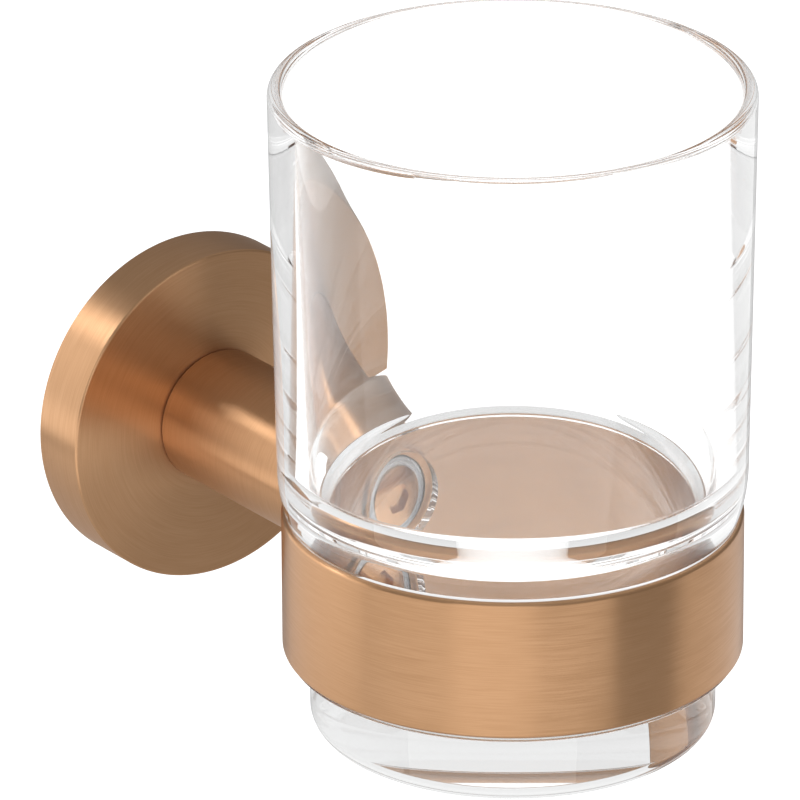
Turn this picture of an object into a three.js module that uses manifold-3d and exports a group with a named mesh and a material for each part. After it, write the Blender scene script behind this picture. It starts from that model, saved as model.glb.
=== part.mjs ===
// Wall-mounted tumbler holder: a round flange cover on a hidden wall bracket, a round arm, a ring band with
// a clear liner, and a stepped glass tumbler that lifts out of it. Millimetres, +Z up, the wall on the XZ
// plane at y = 0 and the holder reaching out along -Y. The origin is the middle of the bracket's back face.

import * as THREE from "three";
import { mergeVertices } from "three/addons/utils/BufferGeometryUtils.js";
import Module from "manifold-3d";

const wasm = await Module();
wasm.setup();

// ---------- driving dimensions ----------

const ringReach = 80.9; // wall to the ring's axis
const largeSides = 72; // sides of a large round
const smallSides = 32; // sides of a screw or a small hole
const arcSteps = 5; // straight steps in a rounded corner
const cutRun = 1; // how far a cutter runs past the face that it opens

// Clearances
const seatGap = 0.15; // between faces that bear on each other
const threadGap = 0.15; // radial, between a screw and its hole
const linerGap = 0.3; // radial, liner to ring and tumbler to liner
const bracketGap = 2.7; // radial, bracket to the inside of the cover

const cover = { radius: 25.5, depth: 9.4, wall: 2.4, face: 1.8, edge: 0.5, wallGap: 0.3 };
const bracket = {
  slotFloor: 2.4, // left under the wall screws' heads
  frontGap: 1.4,
  chamfer: 0.8,
  headMargin: 2.6, // radial, round the arm screw's head
  headGap: 1.4, // under the arm screw's head
  screwFlat: 0.6,
};
const slot = { offset: 12.4, width: 5.2, length: 8, counterbore: 1.6 };
const arm = { radius: 10.1, edge: 0.25, holeRun: 1.5 };
const ring = { radius: 33, wall: 1.7, height: 20.8, edge: 0.5 };
const liner = { wall: 1.6, lipInset: 0.7, lipHeight: 0.7, topInset: 0.6, windowGap: 1.2 };

// Fasteners: radius is the shank's, socket is across flats, point is the tip's chamfer.
const setScrew = { radius: 2, socket: 2, socketDepth: 2, inset: 0.3, point: 0.8 };
const armScrew = {
  radius: 2.5,
  length: 15,
  headRadius: 4.3,
  headHeight: 2.6,
  socket: 3,
  socketDepth: 1.5,
  point: 0.5,
};
const ringScrew = {
  radius: 3,
  length: 16,
  headRadius: 4.6,
  headHeight: 1.05,
  headEdge: 0.3, // height of the head at its rim, below the dome
  socket: 4,
  socketDepth: 1.2,
  point: 0.6,
};
const lockWasher = { radius: 4.6, thickness: 0.9, split: 1.1 };
const ringWasher = { radius: 5.9, thickness: 0.8, sunk: 0.45 }; // sunk into the ring's bore
const locatingPin = { radius: 1.25, length: 5.4, offset: 7.2 };

// Tumbler: heights are from its seat on the ring's top edge.
const tumbler = {
  above: 64.4,
  below: 33.2,
  draft: 0.0154, // outward lean of the upper wall
  shoulderOverhang: 0.57, // outside radius at the top of the shoulder, past the ring's
  shoulderHeight: 7.3,
  seatInset: 0.6, // seat's outer edge inside the ring's outer face
  footCorner: 2.9,
  rootFillet: 0.6, // between the foot and the seat
  wall: 2.25,
  base: 9.5, // thickness of the foot's floor
  floorCorner: 3.6,
  stepLow: 2.4, // inside step from the wide bore to the narrow one
  stepHigh: 8.85,
  stepWall: 3.67, // wall at the top of the step, thicker than at the rim
};

// ---------- sizes that follow ----------

const coverBore = cover.radius - cover.wall;
const coverInside = cover.depth - cover.face; // wall to the back of the cover's face
const bracketRadius = coverBore - bracketGap;
const bracketDepth = coverInside - bracket.frontGap;
const armFoot = cover.depth + seatGap;
const ringBore = ring.radius - ring.wall;
const ringTop = ring.height / 2;
const linerRadius = ringBore - linerGap;
const linerBore = linerRadius - liner.wall;
const footRadius = linerBore - linerGap;
const washerFront = coverInside - seatGap;
const armScrewHead = washerFront - lockWasher.thickness - seatGap; // underside of its head
const armScrewTop = armScrewHead - armScrew.headHeight;
const armScrewTip = armScrewHead + armScrew.length;
const pinStart = coverInside + seatGap;
const pinTip = pinStart + locatingPin.length;
// Distances from the ring's axis towards the wall.
const ringWasherBack = ringBore + ringWasher.sunk;
const ringWasherFront = ringWasherBack - ringWasher.thickness;
const ringScrewHead = ringWasherFront - seatGap; // underside of its head
const ringScrewTip = ringScrewHead + ringScrew.length;

// ---------- shapes ----------

// A closed geometry as a manifold solid.
function solid(geometry) {
  const bare = new THREE.BufferGeometry();
  bare.setAttribute("position", geometry.getAttribute("position").clone());
  bare.setIndex(geometry.index ? geometry.index.clone() : null);
  const merged = mergeVertices(bare, 1e-4);
  const vertProperties = merged.getAttribute("position").array;
  const triVerts = new Uint32Array(merged.index.array);
  return new wasm.Manifold(new wasm.Mesh({ numProp: 3, vertProperties, triVerts }));
}

// The body with every cutter taken out of it.
function cut(body, ...cutters) {
  const rest = cutters.reduce((left, cutter) => left.subtract(solid(cutter)), solid(body));
  const { vertProperties, triVerts, numProp } = rest.getMesh();
  const corners = new Float32Array(triVerts.length * 3);
  triVerts.forEach((vertex, i) => {
    corners.set(vertProperties.subarray(vertex * numProp, vertex * numProp + 3), i * 3);
  });
  const geometry = new THREE.BufferGeometry();
  geometry.setAttribute("position", new THREE.BufferAttribute(corners, 3));
  geometry.computeVertexNormals();
  return geometry;
}

// [radius, height] points on an arc about [centreRadius, centreHeight], between two angles in degrees.
function arc(centreRadius, centreHeight, radius, from, to, steps = arcSteps) {
  return Array.from({ length: steps + 1 }, (_, i) => {
    const angle = THREE.MathUtils.degToRad(from + ((to - from) * i) / steps);
    return [centreRadius + radius * Math.cos(angle), centreHeight + radius * Math.sin(angle)];
  });
}

// A profile of [radius, height] points turned about Z. It starts and ends on the axis, or is closed here.
function turned(profile, sides = largeSides) {
  const points = profile.map(([radius, height]) => new THREE.Vector2(radius, height));
  if (profile[0][0] > 0) points.push(points[0].clone());
  return new THREE.LatheGeometry(points, sides).rotateX(Math.PI / 2);
}

// A round bar along Z.
function bar(radius, from, to, sides = smallSides) {
  return turned([[0, from], [radius, from], [radius, to], [0, to]], sides);
}

// A flat washer along Z, for a screw of this shank radius.
function washer(shank, radius, from, to) {
  const bore = shank + threadGap;
  return turned([[bore, from], [radius, from], [radius, to], [bore, to]], smallSides);
}

// A hexagonal bar along Z, measured across its flats.
function hexBar(acrossFlats, from, to) {
  return bar(acrossFlats / Math.sqrt(3), from, to, 6);
}

// A bar along Z with round ends, its length along Y.
function slotBar(width, length, from, to) {
  const reach = (length - width) / 2;
  const outline = new THREE.Shape();
  outline.absarc(0, reach, width / 2, 0, Math.PI);
  outline.absarc(0, -reach, width / 2, Math.PI, 2 * Math.PI);
  outline.closePath();
  const options = { depth: to - from, bevelEnabled: false, curveSegments: smallSides / 4 };
  return new THREE.ExtrudeGeometry(outline, options).translate(0, 0, from);
}

// ---------- pieces in the wall's frame: x across, y up, z out from the wall ----------

function wallBracket() {
  const disc = turned([
    [0, 0],
    [bracketRadius, 0],
    [bracketRadius, bracketDepth - bracket.chamfer],
    [bracketRadius - bracket.chamfer, bracketDepth],
    [0, bracketDepth],
  ]);
  const headFloor = armScrewTop - bracket.headGap;
  const headRoom = bar(armScrew.headRadius + bracket.headMargin, headFloor, bracketDepth + cutRun);
  const flatCut = new THREE.BoxGeometry(bracketRadius, bracketRadius, 4 * bracketDepth);
  flatCut.translate(0, bracket.screwFlat - 1.5 * bracketRadius, 0);
  const widened = slot.width + 2 * slot.counterbore;
  const lengthened = slot.length + 2 * slot.counterbore;
  const slots = [-slot.offset, slot.offset].flatMap((x) => [
    slotBar(slot.width, slot.length, -cutRun, bracketDepth).translate(x, 0, 0),
    slotBar(widened, lengthened, bracket.slotFloor, bracketDepth + cutRun).translate(x, 0, 0),
  ]);
  return cut(disc, headRoom, flatCut, ...slots);
}

function flangeCover() {
  const cup = turned([
    [0, coverInside],
    [coverBore, coverInside],
    [coverBore, cover.wallGap],
    [cover.radius, cover.wallGap],
    ...arc(cover.radius - cover.edge, cover.depth - cover.edge, cover.edge, 0, 90),
    [0, cover.depth],
  ]);
  const screwHole = bar(armScrew.radius + threadGap, 0, cover.depth + cutRun);
  const pinHole = bar(locatingPin.radius + threadGap, 0, cover.depth + cutRun);
  const setHole = bar(setScrew.radius + threadGap, coverBore - cutRun, cover.radius + cutRun);
  pinHole.translate(0, locatingPin.offset, 0);
  placeSetScrew(setHole);
  return cut(cup, screwHole, pinHole, setHole);
}

// Turns what was made along Z to point down, halfway up the bracket's rim.
function placeSetScrew(geometry) {
  return geometry.rotateX(Math.PI / 2).translate(0, 0, (bracketDepth - bracket.chamfer) / 2);
}

function setScrewBody() {
  const tip = bracketRadius - bracket.screwFlat + seatGap;
  const head = cover.radius - setScrew.inset;
  const { radius, point, socket, socketDepth } = setScrew;
  const body = turned([
    [0, tip],
    [radius - point, tip],
    [radius, tip + point],
    [radius, head],
    [0, head],
  ], smallSides);
  return placeSetScrew(cut(body, hexBar(socket, head - socketDepth, head + cutRun)));
}

// From the cover's face to the ring's outer face, which it is hollowed to fit.
function armBody() {
  const { radius, edge } = arm;
  const blank = turned([
    [0, armFoot],
    [radius - edge, armFoot],
    [radius, armFoot + edge],
    [radius, ringReach],
    [0, ringReach],
  ]);
  const saddle = bar(ring.radius + seatGap, -ring.height, ring.height, largeSides);
  saddle.rotateX(Math.PI / 2).translate(0, 0, ringReach);
  const coverHole = bar(armScrew.radius + threadGap, 0, armScrewTip + arm.holeRun);
  const pinHole = bar(locatingPin.radius + threadGap, 0, pinTip + arm.holeRun);
  pinHole.translate(0, locatingPin.offset, 0);
  const ringHole = bar(ringScrew.radius + threadGap, 0, ringScrewTip + arm.holeRun);
  ringHole.rotateX(Math.PI).translate(0, 0, ringReach);
  return cut(blank, saddle, coverHole, pinHole, ringHole);
}

function armScrewBody() {
  const { headRadius, radius, point, socket, socketDepth } = armScrew;
  const body = turned([
    [0, armScrewTop],
    [headRadius, armScrewTop],
    [headRadius, armScrewHead],
    [radius, armScrewHead],
    [radius, armScrewTip - point],
    [radius - point, armScrewTip],
    [0, armScrewTip],
  ], smallSides);
  return cut(body, hexBar(socket, armScrewTop - cutRun, armScrewTop + socketDepth));
}

// A split washer between the cover's face and the arm screw's head.
function armLockWasher() {
  const { radius, thickness, split } = lockWasher;
  const band = washer(armScrew.radius, radius, washerFront - thickness, washerFront);
  const gap = new THREE.BoxGeometry(split, radius * 2, coverInside * 4);
  return cut(band, gap.translate(0, -radius, 0));
}

// ---------- pieces in the ring's frame: the ring's axis is Z ----------

// Turns what was made along Z to point from the ring's axis to the wall.
function towardsWall(geometry) {
  return geometry.rotateX(-Math.PI / 2);
}

function ringBand() {
  const { radius, edge } = ring;
  const band = turned([
    [ringBore, -ringTop],
    [radius - edge, -ringTop],
    [radius, edge - ringTop],
    [radius, ringTop - edge],
    [radius - edge, ringTop],
    [ringBore, ringTop],
  ]);
  const screwHole = bar(ringScrew.radius + threadGap, linerBore, ringScrewTip);
  const washerSeat = bar(ringWasher.radius + threadGap, linerBore, ringWasherBack + seatGap);
  return cut(band, towardsWall(screwHole), towardsWall(washerSeat));
}

// A low domed head inside the ring, and a shank that runs into the arm.
function ringScrewBody() {
  const { headRadius, headHeight, headEdge, radius, point, socket, socketDepth } = ringScrew;
  const rise = headHeight - headEdge;
  const dome = (headRadius ** 2 + rise ** 2) / (2 * rise);
  const top = ringScrewHead - headHeight;
  const sweep = THREE.MathUtils.radToDeg(Math.asin(headRadius / dome));
  const body = turned([
    ...arc(0, top + dome, dome, -90, sweep - 90),
    [headRadius, ringScrewHead],
    [radius, ringScrewHead],
    [radius, ringScrewTip - point],
    [radius - point, ringScrewTip],
    [0, ringScrewTip],
  ], smallSides);
  return towardsWall(cut(body, hexBar(socket, top - cutRun, top + socketDepth)));
}

function ringScrewWasher() {
  return washer(ringScrew.radius, ringWasher.radius, ringWasherFront, ringWasherBack);
}

// A clear sleeve in the ring with a lip under its lower edge, and a window for the ring screw's washer.
function ringLiner() {
  const lipRadius = ring.radius - liner.lipInset;
  const lipTop = -ringTop - seatGap;
  const lipBottom = lipTop - liner.lipHeight;
  const top = ringTop - liner.topInset;
  const sleeve = turned([
    [linerBore, lipBottom],
    [lipRadius, lipBottom],
    [lipRadius, lipTop],
    [linerRadius, lipTop],
    [linerRadius, top],
    [linerBore, top],
  ]);
  const window = bar(ringWasher.radius + liner.windowGap, 0, ring.radius);
  return cut(sleeve, towardsWall(window));
}

// Outside from the foot's middle up to the rim, then inside down to the floor's middle.
function glassTumbler() {
  const seat = ringTop + seatGap;
  const bottom = seat - tumbler.below;
  const top = seat + tumbler.above;
  const floor = bottom + tumbler.base;
  const shoulderRadius = ring.radius + tumbler.shoulderOverhang;
  const seatRadius = ring.radius - tumbler.seatInset;
  const shoulderTop = seat + tumbler.shoulderHeight;
  const lip = tumbler.wall / 2;
  const rimOutside = shoulderRadius + tumbler.draft * (top - lip - shoulderTop);
  const wideBore = shoulderRadius - tumbler.stepWall;
  const narrowBore = footRadius - tumbler.wall;
  const { footCorner, rootFillet, floorCorner } = tumbler;

  // The shoulder is an arc that leaves the wall upright and ends at the seat's outer edge.
  const inward = shoulderRadius - seatRadius;
  const shoulderArc = (tumbler.shoulderHeight ** 2 + inward ** 2) / (2 * inward);
  const sweep = THREE.MathUtils.radToDeg(Math.asin(tumbler.shoulderHeight / shoulderArc));

  return turned([
    [0, bottom],
    ...arc(footRadius - footCorner, bottom + footCorner, footCorner, -90, 0),
    ...arc(footRadius + rootFillet, seat - rootFillet, rootFillet, 180, 90),
    ...arc(shoulderRadius - shoulderArc, shoulderTop, shoulderArc, -sweep, 0),
    ...arc(rimOutside - lip, top - lip, lip, 0, 180, 2 * arcSteps),
    [wideBore, seat + tumbler.stepHigh],
    [narrowBore, seat + tumbler.stepLow],
    ...arc(narrowBore - floorCorner, floor + floorCorner, floorCorner, 0, -90),
    [0, floor],
  ]);
}

// ---------- materials ----------

const roseMetal = { color: 0xc98f68, roughness: 0.32, metalness: 1 };
const steel = { color: 0xb9bcc0, roughness: 0.3, metalness: 1 };
const zinc = { color: 0x9a9ea3, roughness: 0.5, metalness: 1 };
const clearPlastic = { color: 0xf2f4f5, roughness: 0.2, metalness: 0, transparent: true, opacity: 0.5 };
const glass = { color: 0xfafcfc, roughness: 0.02, metalness: 0, transparent: true, opacity: 0.3 };

// ---------- assembly ----------

function piece(name, geometry, finish) {
  const mesh = new THREE.Mesh(geometry, new THREE.MeshStandardMaterial(finish));
  mesh.name = name;
  return mesh;
}

const onWall = new THREE.Group();
onWall.rotation.x = Math.PI / 2;
onWall.add(
  piece("wall_bracket", wallBracket(), zinc),
  piece("flange_cover", flangeCover(), roseMetal),
  piece("set_screw", setScrewBody(), steel),
  piece("arm", armBody(), roseMetal),
  piece("arm_screw", armScrewBody(), steel),
  piece("arm_lock_washer", armLockWasher(), steel),
  piece("locating_pin", bar(locatingPin.radius, pinStart, pinTip).translate(0, locatingPin.offset, 0), steel),
);

const aroundRing = new THREE.Group();
aroundRing.position.y = -ringReach;
aroundRing.add(
  piece("ring_band", ringBand(), roseMetal),
  piece("ring_screw", ringScrewBody(), roseMetal),
  piece("ring_screw_washer", towardsWall(ringScrewWasher()), steel),
  piece("ring_liner", ringLiner(), clearPlastic),
  piece("glass_tumbler", glassTumbler(), glass),
);

const tumblerHolder = new THREE.Group();
tumblerHolder.add(onWall, aroundRing);

export default tumblerHolder;
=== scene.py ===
"""Looks and stage for the wall-mounted tumbler holder. Metres, in the frame of the packed model."""

import math

import bmesh
import bpy
from bpy.props import FloatProperty, FloatVectorProperty, PointerProperty
from mathutils import Matrix, Vector


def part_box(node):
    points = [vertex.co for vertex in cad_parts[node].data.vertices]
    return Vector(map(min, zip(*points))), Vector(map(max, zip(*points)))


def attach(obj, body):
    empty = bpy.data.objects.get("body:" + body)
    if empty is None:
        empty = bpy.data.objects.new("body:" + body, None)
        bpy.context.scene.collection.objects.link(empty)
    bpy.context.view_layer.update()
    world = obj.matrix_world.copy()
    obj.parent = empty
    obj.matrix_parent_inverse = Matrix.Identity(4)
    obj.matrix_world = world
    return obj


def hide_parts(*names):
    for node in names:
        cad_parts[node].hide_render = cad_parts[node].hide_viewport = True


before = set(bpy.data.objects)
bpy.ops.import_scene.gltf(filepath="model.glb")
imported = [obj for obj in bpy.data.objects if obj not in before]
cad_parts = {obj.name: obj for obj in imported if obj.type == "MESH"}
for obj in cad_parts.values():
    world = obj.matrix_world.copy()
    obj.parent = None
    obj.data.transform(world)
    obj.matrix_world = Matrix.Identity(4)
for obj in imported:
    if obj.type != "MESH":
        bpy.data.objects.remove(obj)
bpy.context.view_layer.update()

bl_info = {
    "name": "Wall Tumbler Holder",
    "version": (1, 0, 0),
    "blender": (4, 5, 0),
    "location": "3D View > Sidebar > Tumbler",
    "description": "Builds the visible pieces, finishes and stage of a wall-mounted tumbler holder",
    "category": "Object",
}

MM = 0.001
LARGE_SIDES = 288  # sides of a large round
SMALL_SIDES = 96  # sides of a screw or a washer
ARC_STEPS = 10  # straight steps in a rounded corner
CREASE = math.radians(28)  # a sharper corner than this isn't shaded smooth
CUT_RUN = 1 * MM  # how far a cutter runs past the face that it opens
HEX_SIDES = 6
SADDLE_ROWS = 24  # rows of faces across the arm's hollowed end
NOUGHT = 1e-9  # a radius below this is on the axis
SAME_POINT = 1e-7  # points closer than this are joined
THIN_EDGE = 1e-8  # edges shorter than this are dissolved
MIX_FACTOR, MIX_FIRST, MIX_SECOND, MIX_COLOUR = 0, 6, 7, 2  # sockets of a Mix node for colours
ALONG_LINES = 0.25  # turn of the anisotropy, so that highlights stretch across the brushed lines
BRUSH_DEPTH = 0.02 * MM  # relief of brushed metal
CAST_DEPTH = 0.05 * MM  # relief of cast metal
WAVE_DEPTH = 0.05 * MM  # relief of glass and clear plastic
CLEAN_TINT = 0.6  # share of a clear material's tint that is left between the wiping marks
FLOOR_MOTTLE = 0.99  # the floor's dull patches, as a share of its tint
GLASS_IOR = 1.5
PLASTIC_IOR = 1.46
BOUNCES = 72  # the glass's wall carries light along a great many
SEE_THROUGH = 16  # transparent bounces
HORIZON, OVERHEAD = -0.1, 0.7  # heights in the sky between which its light changes
SENSOR = 36.0  # camera sensor's width in millimetres
NEAR, FAR = 0.01, 60.0  # what the camera can see, in metres

# Soft lights: place, then width and height, in metres. Their powers are in the studio's settings.
SOFT_LIGHTS = {
    "key": ((-1.15, 1.55, 0.25), (2.6, 2.0)),
    "high": ((-1.1, 1.5, 1.35), (0.6, 0.6)),
    "fill": ((-1.6, -1.6, 0.6), (1.6, 1.2)),
    "side": ((1.25, -0.2, -0.5), (1.7, 0.7)),
    "low": ((-0.8, -0.75, -0.42), (3.8, 0.8)),
}


# ---------- sizes and colours ----------


def middle(node):
    """The centre of a CAD node's box."""
    low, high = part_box(node)
    return (low + high) / 2


def span(node):
    """The size of a CAD node's box along each axis."""
    low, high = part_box(node)
    return high - low


def near_end(node):
    """How far from the wall a CAD node starts."""
    return -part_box(node)[1].y


def far_end(node):
    """How far from the wall a CAD node ends."""
    return -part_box(node)[0].y


def from_axis(node):
    """Where a CAD node starts and ends, from the ring's axis towards the wall."""
    axis = middle("ring_band").y
    return [corner.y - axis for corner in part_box(node)]


def length(label, default, about):
    """A length property in metres."""
    return FloatProperty(
        name=label, description=about, default=default, min=0.0, unit="LENGTH", precision=5
    )


def colour(label, default, about):
    """A linear colour property."""
    return FloatVectorProperty(
        name=label, description=about, default=default, subtype="COLOR", size=3, min=0.0, max=1.0
    )


def amount(label, default, about):
    """A plain number property."""
    return FloatProperty(name=label, description=about, default=default, min=0.0)


class HolderSizes(bpy.types.PropertyGroup):
    """Sizes of the metal holder and its screw."""

    ring_radius: length("Ring radius", span("ring_band").x / 2, "Outside radius of the ring")
    ring_height: length("Ring height", span("ring_band").z, "Height of the ring")
    ring_wall: length("Ring wall", 1.7 * MM, "Thickness of the ring")
    ring_edge: length("Ring edge", 0.5 * MM, "Rounding of the ring's outer edges")
    cover_radius: length("Cover radius", span("flange_cover").x / 2, "Outside radius of the cover")
    cover_front: length("Cover front", far_end("flange_cover"), "Wall to the cover's face")
    cover_back: length("Cover back", near_end("flange_cover"), "Wall to the cover's rim")
    cover_wall: length("Cover wall", 2.4 * MM, "Thickness of the cover's rim")
    cover_face: length("Cover face", 1.8 * MM, "Thickness of the cover's face")
    cover_edge: length("Cover edge", 0.35 * MM, "Rounding of the cover's edges")
    arm_radius: length("Arm radius", span("arm").x / 2, "Radius of the arm")
    arm_foot: length("Arm foot", near_end("arm"), "Wall to the arm's foot")
    arm_edge: length("Arm edge", 0.25 * MM, "Rounding where the arm meets the cover")
    saddle_gap: length("Saddle gap", 0.1 * MM, "Gap between the arm and the ring")


class ScrewSizes(bpy.types.PropertyGroup):
    """Sizes of the ring screw and its washer, from the ring's axis towards the wall."""

    head_radius: length("Head radius", span("ring_screw").x / 2, "Radius of the domed head")
    head_height: length("Head height", 1.05 * MM, "Height of the domed head")
    head_edge: length("Head edge", 0.3 * MM, "Height of the head at its rim")
    shank_radius: length("Shank radius", 3 * MM, "Radius of the shank")
    arm_screw_radius: length("Arm screw radius", 2.5 * MM, "Radius of the screw behind the cover")
    socket: length("Socket", 4 * MM, "Width of the socket across its flats")
    socket_depth: length("Socket depth", 1.2 * MM, "Depth of the socket")
    washer_edge: length("Washer edge", 0.12 * MM, "Rounding of the washer's edges")
    gap: length("Gap", 0.15 * MM, "Clearance round the screw")


class GlassSizes(bpy.types.PropertyGroup):
    """Sizes of the tumbler and of the clear liner that it sits in."""

    seat: length("Seat", 10.55 * MM, "Height of the shoulder's seat above the ring's middle")
    shoulder_radius: length("Shoulder radius", 33.57 * MM, "Outside radius above the shoulder")
    shoulder_height: length("Shoulder height", 7.3 * MM, "Height of the curved shoulder")
    seat_radius: length("Seat radius", 32.4 * MM, "Outer edge of the seat")
    foot_radius: length("Foot radius", 29.1 * MM, "Outside radius of the foot")
    foot_corner: length("Foot corner", 2.9 * MM, "Rounding under the foot")
    root_fillet: length("Root fillet", 0.6 * MM, "Rounding between the foot and the seat")
    wall: length("Wall", 2.25 * MM, "Thickness of the glass")
    base: length("Base", 9.5 * MM, "Thickness of the tumbler's base")
    floor_corner: length("Floor corner", 3.6 * MM, "Rounding at the inside floor")
    step_wall: length("Step wall", 3.67 * MM, "Thickness of the glass at the top of the inside step")
    step_low: length("Step low", 2.4 * MM, "Foot of the inside step, above the seat")
    step_high: length("Step high", 8.85 * MM, "Top of the inside step, above the seat")
    step_blend: length("Step blend", 0.5 * MM, "Rounding at the inside step")
    liner_wall: length("Liner wall", 1.6 * MM, "Thickness of the liner")
    liner_lip: length("Liner lip", 0.7 * MM, "Height of the lip under the ring")
    liner_gap: length("Liner gap", 0.3 * MM, "Clearance between the liner and the ring")
    liner_edge: length("Liner edge", 0.25 * MM, "Rounding of the liner's edges")
    window_gap: length("Window gap", 1.2 * MM, "Clearance round the screw's washer")


class FinishColours(bpy.types.PropertyGroup):
    """Colours and surface values of the finishes."""

    rose_light: colour("Rose gold, light", (0.63, 0.365, 0.2), "Raised lines of the brushed metal")
    rose_dark: colour("Rose gold, dark", (0.58, 0.325, 0.168), "Deep lines of the brushed metal")
    steel_light: colour("Steel, light", (0.62, 0.63, 0.65), "Bright lines of the steel")
    steel_dark: colour("Steel, dark", (0.42, 0.43, 0.45), "Dull lines of the steel")
    zinc_light: colour("Zinc, light", (0.45, 0.46, 0.47), "Bare cast zinc")
    zinc_dark: colour("Zinc, dark", (0.39, 0.4, 0.41), "Oxide in the cast zinc")
    glass_tint: colour("Glass", (0.994, 0.997, 0.996), "Tint of the thick glass")
    liner_tint: colour("Liner", (0.97, 0.975, 0.975), "Tint of the clear plastic")
    floor_tint: colour("Floor", (0.72, 0.72, 0.72), "The pale floor")


class StudioLook(bpy.types.PropertyGroup):
    """Camera and light of the stage."""

    azimuth: FloatProperty(
        name="Azimuth", description="Camera azimuth", default=math.radians(-37.18), subtype="ANGLE"
    )
    elevation: FloatProperty(
        name="Elevation", description="Camera height angle", default=math.radians(23.82), subtype="ANGLE"
    )
    roll: FloatProperty(
        name="Roll", description="Camera roll", default=math.radians(-0.29), subtype="ANGLE"
    )
    distance: length("Distance", 1.41501, "Camera to its target")
    target: FloatVectorProperty(
        name="Target",
        description="Point that the camera looks at",
        default=(-0.02004, -0.08089, 0.03252),
        subtype="XYZ",
    )
    lens: amount("Lens", 453.47, "Focal length in millimetres")
    floor_drop: length("Floor drop", 0.9, "Floor below the ring's middle")
    floor_size: length("Floor size", 14.0, "Width of the floor")
    sky: amount("Sky", 0.15, "Even light at the horizon, as metal sees it")
    sky_top: amount("Sky top", 0.42, "Even light overhead, as metal sees it")
    clear_sky: amount("Clear sky", 1.02, "Even light at the horizon, as the eye sees it")
    clear_top: amount("Clear top", 0.7, "Even light overhead, as the eye sees it")
    glow: amount("Glow", 0.1, "Light that the floor gives off, as metal sees it")
    clear_glow: amount("Clear glow", 0.95, "Light that the floor gives off, as the eye sees it")
    key: amount("Key", 19.0, "Power of the large soft light behind")
    high: amount("High", 4.5, "Power of the small high light behind")
    fill: amount("Fill", 8.0, "Power of the high front light")
    side: amount("Side", 1.9, "Power of the low light at the right")
    low: amount("Low", 8.0, "Power of the low front light")


# ---------- meshes ----------


def arc(centre, radius, start, end, steps=ARC_STEPS):
    """[radius, height] points on an arc about a centre, between two angles in degrees."""
    points = []
    for i in range(steps + 1):
        angle = math.radians(start + (end - start) * i / steps)
        points.append((centre[0] + radius * math.cos(angle), centre[1] + radius * math.sin(angle)))
    return points


def wall_frame():
    """Places what was made along Z so that it points out from the wall."""
    return Matrix.Rotation(math.pi / 2, 4, "X")


def ring_frame():
    """Places what was made round Z on the ring's upright axis."""
    return Matrix.Translation((0, middle("ring_band").y, 0))


def screw_frame():
    """Places what was made along Z so that it points from the ring's axis to the wall."""
    return ring_frame() @ Matrix.Rotation(-math.pi / 2, 4, "X")


def wrapped_faces(sides, rows, closed):
    """Four-cornered faces between columns of points that stand side by side round an axis."""
    faces = []
    for side in range(sides):
        following = (side + 1) % sides
        for row in range(rows if closed else rows - 1):
            above = (row + 1) % rows
            faces.append((
                side * rows + row,
                following * rows + row,
                following * rows + above,
                side * rows + above,
            ))
    return faces


def turned_mesh(name, profile, sides):
    """A mesh of [radius, height] points turned round Z. A profile that starts off the axis is closed."""
    on_axis = profile[0][0] < NOUGHT
    points = []
    for side in range(sides):
        angle = 2 * math.pi * side / sides
        across, along = math.cos(angle), math.sin(angle)
        points.extend((radius * across, radius * along, height) for radius, height in profile)
    mesh = bpy.data.meshes.new(name)
    mesh.from_pydata(points, [], wrapped_faces(sides, len(profile), not on_axis))
    return tidied(mesh)


def tidied(mesh):
    """Joins doubled points, turns every face outwards and shades the mesh smooth."""
    shape = bmesh.new()
    shape.from_mesh(mesh)
    bmesh.ops.remove_doubles(shape, verts=shape.verts, dist=SAME_POINT)
    bmesh.ops.dissolve_degenerate(shape, edges=shape.edges, dist=THIN_EDGE)
    bmesh.ops.recalc_face_normals(shape, faces=shape.faces)
    shape.to_mesh(mesh)
    shape.free()
    mesh.shade_smooth()
    mesh.set_sharp_from_angle(angle=CREASE)
    return mesh


def bar_profile(radius, start, end):
    """The profile of a plain round bar."""
    return [(0, start), (radius, start), (radius, end), (0, end)]


def added(mesh, place):
    """An object that holds the mesh, moved to its place in the part's frame."""
    mesh.transform(place)
    piece = bpy.data.objects.new(mesh.name, mesh)
    bpy.context.scene.collection.objects.link(piece)
    return piece


def turned(name, profile, place, sides=LARGE_SIDES):
    """A turned piece in its place."""
    return added(turned_mesh(name, profile, sides), place)


def hole_along(node, radius, start, end):
    """A round cutter along a CAD node's own line, between two distances from the wall."""
    spot = middle(node)
    place = Matrix.Translation((spot.x, 0, spot.z)) @ wall_frame()
    return turned("bore", bar_profile(radius, start, end), place, SMALL_SIDES)


def cut_out(piece, cutters):
    """Takes every cutter out of the piece, then removes the cutters."""
    for cutter in cutters:
        cut = piece.modifiers.new("cut", "BOOLEAN")
        cut.operation = "DIFFERENCE"
        cut.solver = "EXACT"
        cut.object = cutter
        settled = bpy.data.meshes.new_from_object(
            piece.evaluated_get(bpy.context.evaluated_depsgraph_get())
        )
        piece.modifiers.clear()
        spare = piece.data
        settled.name = piece.name
        piece.data = settled
        bpy.data.meshes.remove(spare)
        used = cutter.data
        bpy.data.objects.remove(cutter)
        bpy.data.meshes.remove(used)
    tidied(piece.data)
    return piece


def settle(piece, body, nodes, material):
    """Gives the piece its finish and its body, and hides the CAD nodes that it stands for."""
    piece.data.materials.clear()
    piece.data.materials.append(material)
    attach(piece, body)
    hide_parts(*nodes)
    return piece


def finish_node(node, material):
    """Gives a carried-over CAD node its finish."""
    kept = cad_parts[node]
    kept.data.materials.clear()
    kept.data.materials.append(material)


# ---------- shared surface effects ----------


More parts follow.
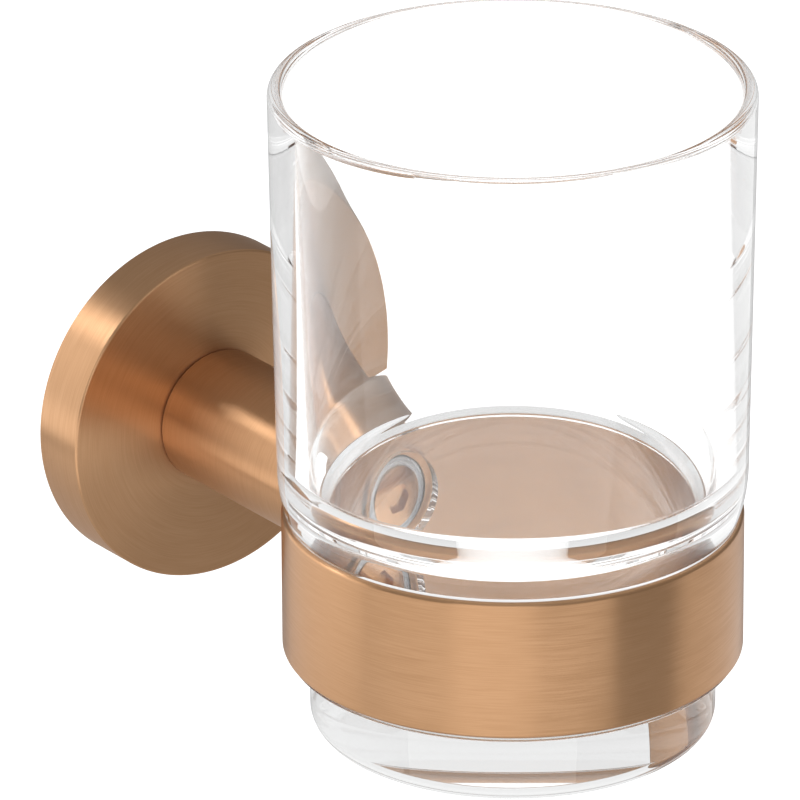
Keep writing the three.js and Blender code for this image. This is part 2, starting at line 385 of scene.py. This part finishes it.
class Graph:
    """A short way to add and join nodes in one tree."""

    def __init__(self, tree):
        self.tree = tree

    def node(self, kind, inputs=None, **settings):
        """A node with its settings, and with each input set or joined."""
        made = self.tree.nodes.new(kind)
        for name, value in settings.items():
            setattr(made, name, value)
        for name, value in (inputs or {}).items():
            self.feed(made.inputs[name], value)
        return made

    def feed(self, socket, value):
        """Joins an output to the socket, or sets the socket's own value."""
        if isinstance(value, bpy.types.NodeSocket):
            self.tree.links.new(value, socket)
        else:
            socket.default_value = value

    def math(self, operation, first, second):
        """The result of a Math node."""
        return self.node("ShaderNodeMath", {0: first, 1: second}, operation=operation).outputs[0]

    def scaled(self, value, factor):
        """A value times a factor."""
        return self.math("MULTIPLY", value, factor)

    def mixed(self, first, second, share):
        """The second value's share added to what is left of the first."""
        return self.math("ADD", self.scaled(first, 1 - share), self.scaled(second, share))

    def bump(self, height, strength, depth):
        """The normal of a surface that a height raises, by up to a depth in metres."""
        values = {"Height": height, "Strength": strength, "Distance": depth}
        return self.node("ShaderNodeBump", values).outputs["Normal"]

    def blend(self, factor, first, second):
        """A mix of two colours."""
        mix = self.node("ShaderNodeMix", data_type="RGBA")
        self.feed(mix.inputs[MIX_FACTOR], factor)
        self.feed(mix.inputs[MIX_FIRST], first)
        self.feed(mix.inputs[MIX_SECOND], second)
        return mix.outputs[MIX_COLOUR]

    def span(self, value, low, high):
        """Maps 0 to 1 onto low to high."""
        mapped = self.node("ShaderNodeMapRange", {"Value": value, "To Min": low, "To Max": high})
        return mapped.outputs["Result"]

    def sharpened(self, value, low, high):
        """Stretches the range from low to high over 0 to 1."""
        mapped = self.node("ShaderNodeMapRange", {"Value": value, "From Min": low, "From Max": high})
        return mapped.outputs["Result"]

    def noise(self, vector, scale, detail):
        """A noise value."""
        made = self.node("ShaderNodeTexNoise", {"Vector": vector, "Scale": scale, "Detail": detail})
        return made.outputs["Fac"]


def effect_group(name, inputs, outputs):
    """An empty shader node group with its sockets, and the graph and ends to build it with."""
    tree = bpy.data.node_groups.new(name, "ShaderNodeTree")
    for label, kind, default in inputs:
        socket = tree.interface.new_socket(name=label, in_out="INPUT", socket_type=kind)
        if default is not None:
            socket.default_value = default
    for label in outputs:
        tree.interface.new_socket(name=label, in_out="OUTPUT", socket_type="NodeSocketFloat")
    graph = Graph(tree)
    start = graph.node("NodeGroupInput")
    end = graph.node("NodeGroupOutput")
    return tree, graph, start.outputs, end.inputs


def brushed_lines():
    """Fine lines that run round a turned piece, whose axis is Z in the vector that comes in."""
    if "Brushed lines" in bpy.data.node_groups:
        return bpy.data.node_groups["Brushed lines"]
    tree, graph, given, out = effect_group(
        "Brushed lines",
        [
            ("Vector", "NodeSocketVector", None),
            ("Lines", "NodeSocketFloat", 6000.0),
            ("Run", "NodeSocketFloat", 90.0),
        ],
        ["Height", "Streaks", "Bands"],
    )
    split = graph.node("ShaderNodeSeparateXYZ", {0: given["Vector"]}).outputs
    flat = graph.node("ShaderNodeCombineXYZ", {"X": split["X"], "Y": split["Y"]}).outputs[0]
    radius = graph.node("ShaderNodeVectorMath", {0: flat}, operation="LENGTH").outputs["Value"]
    across = graph.math("ADD", radius, split["Z"])

    def lines(pitch_share, run_share, detail):
        """Noise that is fine across the lines and long along them, at shares of the given values."""
        run = graph.scaled(given["Run"], run_share)
        stretched = graph.node("ShaderNodeCombineXYZ", {
            "X": graph.math("MULTIPLY", split["X"], run),
            "Y": graph.math("MULTIPLY", split["Y"], run),
            "Z": graph.math("MULTIPLY", across, graph.scaled(given["Lines"], pitch_share)),
        })
        return graph.noise(stretched.outputs[0], 1.0, detail)

    fine = lines(pitch_share=1.0, run_share=1.0, detail=3.0)
    coarse = lines(pitch_share=0.22, run_share=0.5, detail=2.0)
    broad = lines(pitch_share=0.03, run_share=0.3, detail=1.0)
    height = graph.mixed(fine, coarse, share=0.1)
    graph.feed(out["Height"], height)
    graph.feed(out["Streaks"], graph.sharpened(height, low=0.36, high=0.64))
    graph.feed(out["Bands"], graph.sharpened(broad, low=0.3, high=0.7))
    return tree


def handling_marks():
    """Soft smudges and fine specks, as on a piece that is touched and wiped."""
    if "Handling marks" in bpy.data.node_groups:
        return bpy.data.node_groups["Handling marks"]
    tree, graph, given, out = effect_group(
        "Handling marks",
        [
            ("Vector", "NodeSocketVector", None),
            ("Size", "NodeSocketFloat", 45.0),
            ("Speck size", "NodeSocketFloat", 1400.0),
        ],
        ["Smudge", "Specks"],
    )
    soft = graph.node("ShaderNodeTexNoise", {
        "Vector": given["Vector"],
        "Scale": given["Size"],
        "Detail": 3.0,
        "Distortion": 0.8,
    })
    dots = graph.node("ShaderNodeTexVoronoi", {"Vector": given["Vector"], "Scale": given["Speck size"]})
    graph.feed(out["Smudge"], graph.sharpened(soft.outputs["Fac"], low=0.42, high=0.72))
    graph.feed(out["Specks"], graph.sharpened(dots.outputs["Distance"], low=0.16, high=0.04))
    return tree


# ---------- finishes ----------


def place_vector(graph, axis_at, turn):
    """Object coordinates with the piece's own turning axis brought onto Z."""
    coordinates = graph.node("ShaderNodeTexCoord").outputs["Object"]
    moved = graph.node("ShaderNodeVectorMath", {0: coordinates, 1: axis_at}, operation="SUBTRACT")
    turned_round = graph.node("ShaderNodeMapping", {
        "Vector": moved.outputs["Vector"],
        "Rotation": turn,
    })
    return turned_round.outputs["Vector"]


def new_material(name):
    """A material with its graph and its Principled shader."""
    material = bpy.data.materials.new(name)
    material.use_nodes = True
    return material, Graph(material.node_tree), material.node_tree.nodes["Principled BSDF"]


def placed_group(graph, tree, values):
    """A node group placed in a material with its own values."""
    placed = graph.node("ShaderNodeGroup", node_tree=tree)
    for name, value in values.items():
        graph.feed(placed.inputs[name], value)
    return placed.outputs


def turned_metal(
    name, light, dark, upright,
    lines=7000.0, run=150.0, rough=(0.29, 0.34), bump=0.045, stretch=0.9, marks=0.04,
):
    """Metal brushed round its turning axis, which is upright or square to the wall."""
    material, graph, shader = new_material(name)
    axis_at = (0, middle("ring_band").y, 0) if upright else (0, 0, 0)
    turn = (0, 0, 0) if upright else (math.pi / 2, 0, 0)
    vector = place_vector(graph, axis_at, turn)
    brush = placed_group(graph, brushed_lines(), {"Vector": vector, "Lines": lines, "Run": run})
    touch = placed_group(graph, handling_marks(), {"Vector": vector, "Size": 42.0})
    tone = graph.mixed(brush["Streaks"], brush["Bands"], share=0.15)
    graph.feed(shader.inputs["Base Color"], graph.blend(tone, (*dark, 1), (*light, 1)))
    smooth, coarse = rough
    grain = graph.span(brush["Streaks"], coarse, smooth)
    worn = graph.math("ADD", graph.scaled(touch["Smudge"], marks), grain)
    graph.feed(shader.inputs["Roughness"], worn)
    graph.feed(shader.inputs["Normal"], graph.bump(brush["Height"], bump, BRUSH_DEPTH))
    tangent = graph.node("ShaderNodeTangent", direction_type="RADIAL", axis="Z" if upright else "Y")
    graph.feed(shader.inputs["Tangent"], tangent.outputs["Tangent"])
    shader.inputs["Metallic"].default_value = 1.0
    shader.inputs["Anisotropic"].default_value = stretch
    shader.inputs["Anisotropic Rotation"].default_value = ALONG_LINES
    return material


def brushed_rose(name, upright, **values):
    """The holder's brushed rose-gold coating."""
    colours = bpy.context.scene.tumbler_colours
    return turned_metal(name, colours.rose_light, colours.rose_dark, upright, **values)


def bright_steel(name, upright=False, **values):
    """Plain stainless steel, turned."""
    colours = bpy.context.scene.tumbler_colours
    return turned_metal(name, colours.steel_light, colours.steel_dark, upright, **values)


def cast_zinc():
    """Bare die-cast zinc, with a fine cast grain and dull oxide."""
    colours = bpy.context.scene.tumbler_colours
    material, graph, shader = new_material("bare_cast_zinc")
    vector = graph.node("ShaderNodeTexCoord").outputs["Object"]
    touch = placed_group(graph, handling_marks(), {"Vector": vector, "Size": 160.0, "Speck size": 2600.0})
    grain = graph.noise(vector, scale=2400.0, detail=4.0)
    tone = graph.blend(touch["Smudge"], (*colours.zinc_light, 1), (*colours.zinc_dark, 1))
    graph.feed(shader.inputs["Base Color"], tone)
    graph.feed(shader.inputs["Roughness"], graph.span(grain, low=0.42, high=0.62))
    height = graph.math("SUBTRACT", grain, graph.scaled(touch["Specks"], 0.5))
    graph.feed(shader.inputs["Normal"], graph.bump(height, strength=0.3, depth=CAST_DEPTH))
    shader.inputs["Metallic"].default_value = 1.0
    return material


def clear_material(name, tint, ior, waviness, rough):
    """Clear glass or plastic with a trace of waviness, and of wiping marks that deepen its tint."""
    material, graph, shader = new_material(name)
    vector = graph.node("ShaderNodeTexCoord").outputs["Object"]
    touch = placed_group(graph, handling_marks(), {"Vector": vector, "Size": 30.0, "Speck size": 900.0})
    clean = tuple(1 - (1 - part) * CLEAN_TINT for part in tint)
    graph.feed(shader.inputs["Base Color"], graph.blend(touch["Smudge"], (*clean, 1), (*tint, 1)))
    graph.feed(shader.inputs["Roughness"], graph.span(touch["Smudge"], 0.0, rough))
    wave = graph.noise(vector, scale=38.0, detail=1.0)
    graph.feed(shader.inputs["Normal"], graph.bump(wave, waviness, WAVE_DEPTH))
    shader.inputs["Transmission Weight"].default_value = 1.0
    shader.inputs["IOR"].default_value = ior
    return material


def seen_clearly(graph):
    """One where something is seen directly or through a clear piece, and nought elsewhere."""
    path = graph.node("ShaderNodeLightPath").outputs
    return graph.math("MAXIMUM", path["Is Camera Ray"], path["Is Transmission Ray"])


def pale_floor(tint, glow, clear_glow):
    """A matt pale floor with the faintest mottling, brighter to the eye and through clear pieces."""
    material, graph, shader = new_material("pale_floor")
    vector = graph.node("ShaderNodeTexCoord").outputs["Object"]
    mottle = graph.noise(vector, scale=1.5, detail=2.0)
    duller = tuple(part * FLOOR_MOTTLE for part in tint)
    graph.feed(shader.inputs["Base Color"], graph.blend(mottle, (*tint, 1), (*duller, 1)))
    shader.inputs["Roughness"].default_value = 0.9
    shader.inputs["Emission Color"].default_value = (1, 1, 1, 1)
    graph.feed(shader.inputs["Emission Strength"], graph.span(seen_clearly(graph), glow, clear_glow))
    return material


# ---------- pieces ----------


def tumbler_profile(sizes):
    """Outside from the foot's middle up to the rim, then inside down to the floor's middle."""
    low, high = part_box("glass_tumbler")
    bottom, top = low.z, high.z
    floor = bottom + sizes.base
    lip = sizes.wall / 2
    rim = (high.x - low.x) / 2
    shoulder_top = sizes.seat + sizes.shoulder_height
    inward = sizes.shoulder_radius - sizes.seat_radius
    shoulder = (sizes.shoulder_height**2 + inward**2) / (2 * inward)
    sweep = math.degrees(math.asin(sizes.shoulder_height / shoulder))
    wide = sizes.shoulder_radius - sizes.step_wall
    narrow = sizes.foot_radius - sizes.wall
    foot = (sizes.foot_radius - sizes.foot_corner, bottom + sizes.foot_corner)
    root = (sizes.foot_radius + sizes.root_fillet, sizes.seat - sizes.root_fillet)
    corner = (narrow - sizes.floor_corner, floor + sizes.floor_corner)
    step = blended(
        [
            (rim - sizes.wall, top - lip),
            (wide, sizes.seat + sizes.step_high),
            (narrow, sizes.seat + sizes.step_low),
            (narrow, corner[1]),
        ],
        sizes.step_blend,
    )
    return [
        (0, bottom),
        *arc(foot, sizes.foot_corner, -90, 0),
        *arc(root, sizes.root_fillet, 180, 90),
        *arc((sizes.shoulder_radius - shoulder, shoulder_top), shoulder, -sweep, 0, 2 * ARC_STEPS),
        *arc((rim - lip, top - lip), lip, 0, 180, 2 * ARC_STEPS),
        *step[1:-1],
        *arc(corner, sizes.floor_corner, 0, -90),
        (0, floor),
    ]


def blended(points, reach):
    """The points with each inner corner rounded over a reach to either side."""
    rounded = [points[0]]
    for before, corner, after in zip(points, points[1:], points[2:]):
        start = Vector(corner) + (Vector(before) - Vector(corner)).normalized() * reach
        end = Vector(corner) + (Vector(after) - Vector(corner)).normalized() * reach
        for i in range(ARC_STEPS + 1):
            t = i / ARC_STEPS
            bent = start.lerp(Vector(corner), t).lerp(Vector(corner).lerp(end, t), t)
            rounded.append(tuple(bent))
    return [*rounded, points[-1]]


class TUMBLER_OT_glass(bpy.types.Operator):
    """Builds the stepped glass tumbler."""

    bl_idname = "tumbler.glass"
    bl_label = "Glass tumbler"

    def execute(self, context):
        scene = context.scene
        piece = turned("tumbler_glass", tumbler_profile(scene.tumbler_glass_sizes), ring_frame())
        tint = scene.tumbler_colours.glass_tint
        material = clear_material("clear_glass", tint, GLASS_IOR, waviness=0.004, rough=0.006)
        settle(piece, "tumbler", ["glass_tumbler"], material)
        return {"FINISHED"}


class TUMBLER_OT_liner(bpy.types.Operator):
    """Builds the clear liner between the ring and the tumbler."""

    bl_idname = "tumbler.liner"
    bl_label = "Ring liner"

    def execute(self, context):
        scene = context.scene
        sizes, holder = scene.tumbler_glass_sizes, scene.tumbler_holder_sizes
        low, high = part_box("ring_liner")
        outer = holder.ring_radius - holder.ring_wall - sizes.liner_gap
        bore = outer - sizes.liner_wall
        lip = (high.x - low.x) / 2
        lip_top = low.z + sizes.liner_lip
        edge = sizes.liner_edge
        profile = [
            (bore, low.z),
            *arc((lip - edge, low.z + edge), edge, -90, 0),
            *arc((lip - edge, lip_top - edge), edge, 0, 90),
            (outer, lip_top),
            *arc((outer - edge, high.z - edge), edge, 0, 90),
            (bore, high.z),
        ]
        piece = turned("ring_liner_clear", profile, ring_frame())
        window = span("ring_screw_washer").x / 2 + sizes.window_gap
        cut_out(piece, [turned("window", bar_profile(window, 0, lip), screw_frame(), SMALL_SIDES)])
        tint = scene.tumbler_colours.liner_tint
        material = clear_material("clear_plastic", tint, PLASTIC_IOR, waviness=0.05, rough=0.03)
        settle(piece, "holder", ["ring_liner"], material)
        return {"FINISHED"}


class TUMBLER_OT_ring(bpy.types.Operator):
    """Builds the brushed ring band."""

    bl_idname = "tumbler.ring"
    bl_label = "Ring band"

    def execute(self, context):
        sizes = context.scene.tumbler_holder_sizes
        screw = context.scene.tumbler_screw_sizes
        radius, edge = sizes.ring_radius, sizes.ring_edge
        bore, top = radius - sizes.ring_wall, sizes.ring_height / 2
        inner = edge / 2
        profile = [
            *arc((bore + inner, inner - top), inner, 180, 270),
            *arc((radius - edge, edge - top), edge, -90, 0),
            *arc((radius - edge, top - edge), edge, 0, 90),
            *arc((bore + inner, top - inner), inner, 90, 180),
        ]
        piece = turned("ring_band_brushed", profile, ring_frame())
        seat = span("ring_screw_washer").x / 2 + screw.gap
        washer_back = from_axis("ring_screw_washer")[1]
        hole = screw.shank_radius + screw.gap
        cut_out(piece, [
            turned("seat", bar_profile(seat, 0, washer_back + screw.gap), screw_frame(), SMALL_SIDES),
            turned("hole", bar_profile(hole, 0, radius + CUT_RUN), screw_frame(), SMALL_SIDES),
        ])
        settle(piece, "holder", ["ring_band"], brushed_rose("brushed_rose_ring", True))
        return {"FINISHED"}


def domed_screw(sizes):
    """The ring screw, from its domed head with a hex socket to its tip."""
    top, tip = from_axis("ring_screw")
    seat = top + sizes.head_height
    rise = sizes.head_height - sizes.head_edge
    dome = (sizes.head_radius**2 + rise**2) / (2 * rise)
    sweep = math.degrees(math.asin(sizes.head_radius / dome))
    profile = [
        *arc((0, top + dome), dome, -90, sweep - 90, 2 * ARC_STEPS),
        (sizes.head_radius, seat),
        (sizes.shank_radius, seat),
        (sizes.shank_radius, tip),
        (0, tip),
    ]
    screw = turned("ring_screw_domed", profile, screw_frame(), SMALL_SIDES)
    corner = sizes.socket / math.sqrt(3)
    socket = bar_profile(corner, top - CUT_RUN, top + sizes.socket_depth)
    return cut_out(screw, [turned("socket", socket, screw_frame(), HEX_SIDES)])


def plain_washer(sizes):
    """The washer under the ring screw's head."""
    low, high = from_axis("ring_screw_washer")
    outer, edge = span("ring_screw_washer").x / 2, sizes.washer_edge
    bore = sizes.shank_radius + sizes.gap
    profile = [
        (bore, low),
        *arc((outer - edge, low + edge), edge, -90, 0, ARC_STEPS // 2),
        *arc((outer - edge, high - edge), edge, 0, 90, ARC_STEPS // 2),
        (bore, high),
    ]
    return turned("ring_screw_washer_steel", profile, screw_frame(), SMALL_SIDES)


class TUMBLER_OT_ring_screw(bpy.types.Operator):
    """Builds the domed ring screw and its washer."""

    bl_idname = "tumbler.ring_screw"
    bl_label = "Ring screw and washer"

    def execute(self, context):
        sizes = context.scene.tumbler_screw_sizes
        screw = domed_screw(sizes)
        head = brushed_rose("turned_rose_screw", False, lines=9000.0, rough=(0.16, 0.26), bump=0.05)
        settle(screw, "holder", ["ring_screw"], head)
        washer = plain_washer(sizes)
        steel = bright_steel("turned_steel_washer", lines=8000.0, rough=(0.22, 0.34))
        settle(washer, "holder", ["ring_screw_washer"], steel)
        return {"FINISHED"}


def arm_mesh(sizes, reach):
    """A round bar from the cover's face to the ring, its far end hollowed to the ring's curve."""
    radius, edge = sizes.arm_radius, sizes.arm_edge
    hollow = sizes.ring_radius + sizes.saddle_gap
    foot = [(0, sizes.arm_foot), *arc((radius - edge, sizes.arm_foot + edge), edge, -90, 0)]
    points = []
    for side in range(LARGE_SIDES):
        angle = 2 * math.pi * side / LARGE_SIDES
        across, up = math.cos(angle), math.sin(angle)
        points.extend((out * across, out * up, height) for out, height in foot)
        for row in range(SADDLE_ROWS + 1):
            out = radius * (1 - row / SADDLE_ROWS)
            end = reach - math.sqrt(hollow**2 - (out * across) ** 2)
            points.append((out * across, out * up, end))
    mesh = bpy.data.meshes.new("arm_brushed")
    mesh.from_pydata(points, [], wrapped_faces(LARGE_SIDES, len(foot) + SADDLE_ROWS + 1, False))
    return tidied(mesh)


class TUMBLER_OT_arm(bpy.types.Operator):
    """Builds the round arm between the cover and the ring."""

    bl_idname = "tumbler.arm"
    bl_label = "Arm"

    def execute(self, context):
        sizes = context.scene.tumbler_holder_sizes
        screws = context.scene.tumbler_screw_sizes
        reach = -middle("ring_band").y
        mouth = sizes.arm_foot - CUT_RUN
        arm_screw = screws.arm_screw_radius + screws.gap
        pin = span("locating_pin").x / 2 + screws.gap
        ring_screw = screws.shank_radius + screws.gap
        piece = added(arm_mesh(sizes, reach), wall_frame())
        cut_out(piece, [
            hole_along("arm_screw", arm_screw, mouth, far_end("arm_screw") + CUT_RUN),
            hole_along("locating_pin", pin, mouth, far_end("locating_pin") + CUT_RUN),
            hole_along("ring_screw", ring_screw, near_end("ring_screw") - CUT_RUN, reach),
        ])
        settle(piece, "holder", ["arm"], brushed_rose("brushed_rose_arm", False))
        return {"FINISHED"}


class TUMBLER_OT_cover(bpy.types.Operator):
    """Builds the flange cover, with the holes for its screws and the pin."""

    bl_idname = "tumbler.cover"
    bl_label = "Flange cover"

    def execute(self, context):
        sizes = context.scene.tumbler_holder_sizes
        screws = context.scene.tumbler_screw_sizes
        radius, edge = sizes.cover_radius, sizes.cover_edge
        front, back = sizes.cover_front, sizes.cover_back
        bore, inside = radius - sizes.cover_wall, front - sizes.cover_face
        soft = edge / 2
        profile = [
            (0, inside),
            (bore, inside),
            *arc((bore + soft, back + soft), soft, 180, 270, ARC_STEPS // 2),
            *arc((radius - soft, back + soft), soft, -90, 0, ARC_STEPS // 2),
            *arc((radius - edge, front - edge), edge, 0, 90),
            (0, front),
        ]
        piece = turned("flange_cover_brushed", profile, wall_frame())
        set_screw = span("set_screw").x / 2 + screws.gap
        arm_screw = screws.arm_screw_radius + screws.gap
        pin = span("locating_pin").x / 2 + screws.gap
        down = Matrix.Translation((0, middle("set_screw").y, 0)) @ Matrix.Rotation(math.pi, 4, "X")
        cut_out(piece, [
            turned("hole", bar_profile(set_screw, bore - CUT_RUN, radius + CUT_RUN), down, SMALL_SIDES),
            hole_along("arm_screw", arm_screw, 0, front + CUT_RUN),
            hole_along("locating_pin", pin, 0, front + CUT_RUN),
        ])
        settle(piece, "holder", ["flange_cover"], brushed_rose("brushed_rose_cover", False))
        return {"FINISHED"}


class TUMBLER_OT_fixings(bpy.types.Operator):
    """Finishes the wall bracket and the small fixings that the cover hides."""

    bl_idname = "tumbler.fixings"
    bl_label = "Bracket and fixings"

    def execute(self, context):
        finish_node("wall_bracket", cast_zinc())
        steel = bright_steel("turned_steel_fixings", lines=7000.0, rough=(0.2, 0.36), bump=0.1)
        for node in ("set_screw", "arm_screw", "arm_lock_washer", "locating_pin"):
            finish_node(node, steel)
        return {"FINISHED"}


# ---------- stage ----------


def soft_light(name, place, aim, size, power):
    """A rectangular soft light that faces a point, and that clear pieces don't show."""
    data = bpy.data.lights.new(name, "AREA")
    data.shape = "RECTANGLE"
    data.size, data.size_y = size
    data.energy = power
    light = bpy.data.objects.new(name, data)
    light.location = place
    light.rotation_mode = "QUATERNION"
    light.rotation_quaternion = (Vector(aim) - Vector(place)).to_track_quat("-Z", "Y")
    light.visible_transmission = False
    bpy.context.scene.collection.objects.link(light)
    return light


def studio_world(look):
    """Pale light from all round, nearly white to the eye and through clear pieces, and dimmer to metal."""
    world = bpy.data.worlds.new("studio")
    bpy.context.scene.world = world
    world.use_nodes = True
    graph = Graph(world.node_tree)
    background = world.node_tree.nodes["Background"]
    direction = graph.node("ShaderNodeTexCoord").outputs["Generated"]
    height = graph.node("ShaderNodeSeparateXYZ", {0: direction}).outputs["Z"]

    def falling(bottom, top):
        """A value that changes from the horizon to overhead."""
        return graph.span(graph.sharpened(height, HORIZON, OVERHEAD), bottom, top)

    seen = graph.node("ShaderNodeMix", {"Factor": seen_clearly(graph), "A": falling(look.sky, look.sky_top)})
    graph.feed(seen.inputs["B"], falling(look.clear_sky, look.clear_top))
    graph.feed(background.inputs["Color"], seen.outputs["Result"])


def add_camera(look):
    """The camera, at its own angle and distance from its target."""
    side, rise = look.azimuth, look.elevation
    back = Vector((math.sin(side) * math.cos(rise), -math.cos(side) * math.cos(rise), math.sin(rise)))
    right = Vector((math.cos(side), math.sin(side), 0))
    up = back.cross(right)
    across = right * math.cos(look.roll) + up * math.sin(look.roll)
    upright = up * math.cos(look.roll) - right * math.sin(look.roll)
    data = bpy.data.cameras.new("camera")
    data.sensor_width = SENSOR
    data.lens = look.lens
    data.clip_start, data.clip_end = NEAR, FAR
    camera = bpy.data.objects.new("camera", data)
    bpy.context.scene.collection.objects.link(camera)
    spot = Vector(look.target) + back * look.distance
    camera.matrix_world = Matrix.Translation(spot) @ Matrix((across, upright, back)).transposed().to_4x4()
    bpy.context.scene.camera = camera


def add_floor(look, tint):
    """The plain pale floor, far below the holder."""
    half = look.floor_size / 2
    corners = [(-half, -half), (half, -half), (half, half), (-half, half)]
    mesh = bpy.data.meshes.new("floor")
    mesh.from_pydata([(x, y, -look.floor_drop) for x, y in corners], [], [(0, 1, 2, 3)])
    mesh.materials.append(pale_floor(tint, look.glow, look.clear_glow))
    floor = bpy.data.objects.new("floor", mesh)
    bpy.context.scene.collection.objects.link(floor)


class TUMBLER_OT_stage(bpy.types.Operator):
    """Adds the floor, the soft light and the camera."""

    bl_idname = "tumbler.stage"
    bl_label = "Stage"

    def execute(self, context):
        scene = context.scene
        look = scene.tumbler_studio
        add_floor(look, scene.tumbler_colours.floor_tint)
        studio_world(look)
        for name, (place, size) in SOFT_LIGHTS.items():
            soft_light(name, place, middle("ring_band"), size, getattr(look, name))
        add_camera(look)
        scene.view_settings.view_transform = "Standard"
        scene.cycles.max_bounces = BOUNCES
        scene.cycles.glossy_bounces = BOUNCES
        scene.cycles.transmission_bounces = BOUNCES
        scene.cycles.transparent_max_bounces = SEE_THROUGH
        return {"FINISHED"}


# ---------- sidebar ----------


class TUMBLER_PT_panel(bpy.types.Panel):
    """Lists the sizes, the colours and the build steps."""

    bl_label = "Tumbler holder"
    bl_idname = "TUMBLER_PT_panel"
    bl_space_type = "VIEW_3D"
    bl_region_type = "UI"
    bl_category = "Tumbler"

    def draw(self, context):
        for attribute, group in PROPERTY_GROUPS.items():
            box = self.layout.box()
            box.label(text=group.__doc__)
            for name in group.__annotations__:
                box.prop(getattr(context.scene, attribute), name)
        for operator in OPERATORS:
            self.layout.operator(operator.bl_idname)


PROPERTY_GROUPS = {
    "tumbler_holder_sizes": HolderSizes,
    "tumbler_screw_sizes": ScrewSizes,
    "tumbler_glass_sizes": GlassSizes,
    "tumbler_colours": FinishColours,
    "tumbler_studio": StudioLook,
}
OPERATORS = (
    TUMBLER_OT_cover,
    TUMBLER_OT_arm,
    TUMBLER_OT_ring,
    TUMBLER_OT_ring_screw,
    TUMBLER_OT_liner,
    TUMBLER_OT_glass,
    TUMBLER_OT_fixings,
    TUMBLER_OT_stage,
)
CLASSES = (*PROPERTY_GROUPS.values(), *OPERATORS, TUMBLER_PT_panel)


def register():
    """Adds the classes, and the settings to the scene."""
    for cls in CLASSES:
        bpy.utils.register_class(cls)
    for attribute, group in PROPERTY_GROUPS.items():
        setattr(bpy.types.Scene, attribute, PointerProperty(type=group))


def unregister():
    """Takes the settings and the classes away again."""
    for attribute in PROPERTY_GROUPS:
        delattr(bpy.types.Scene, attribute)
    for cls in reversed(CLASSES):
        bpy.utils.unregister_class(cls)


def main():
    """Builds everything."""
    register()
    for operator in OPERATORS:
        group, name = operator.bl_idname.split(".")
        getattr(getattr(bpy.ops, group), name)()


if __name__ == "__main__":
    main()
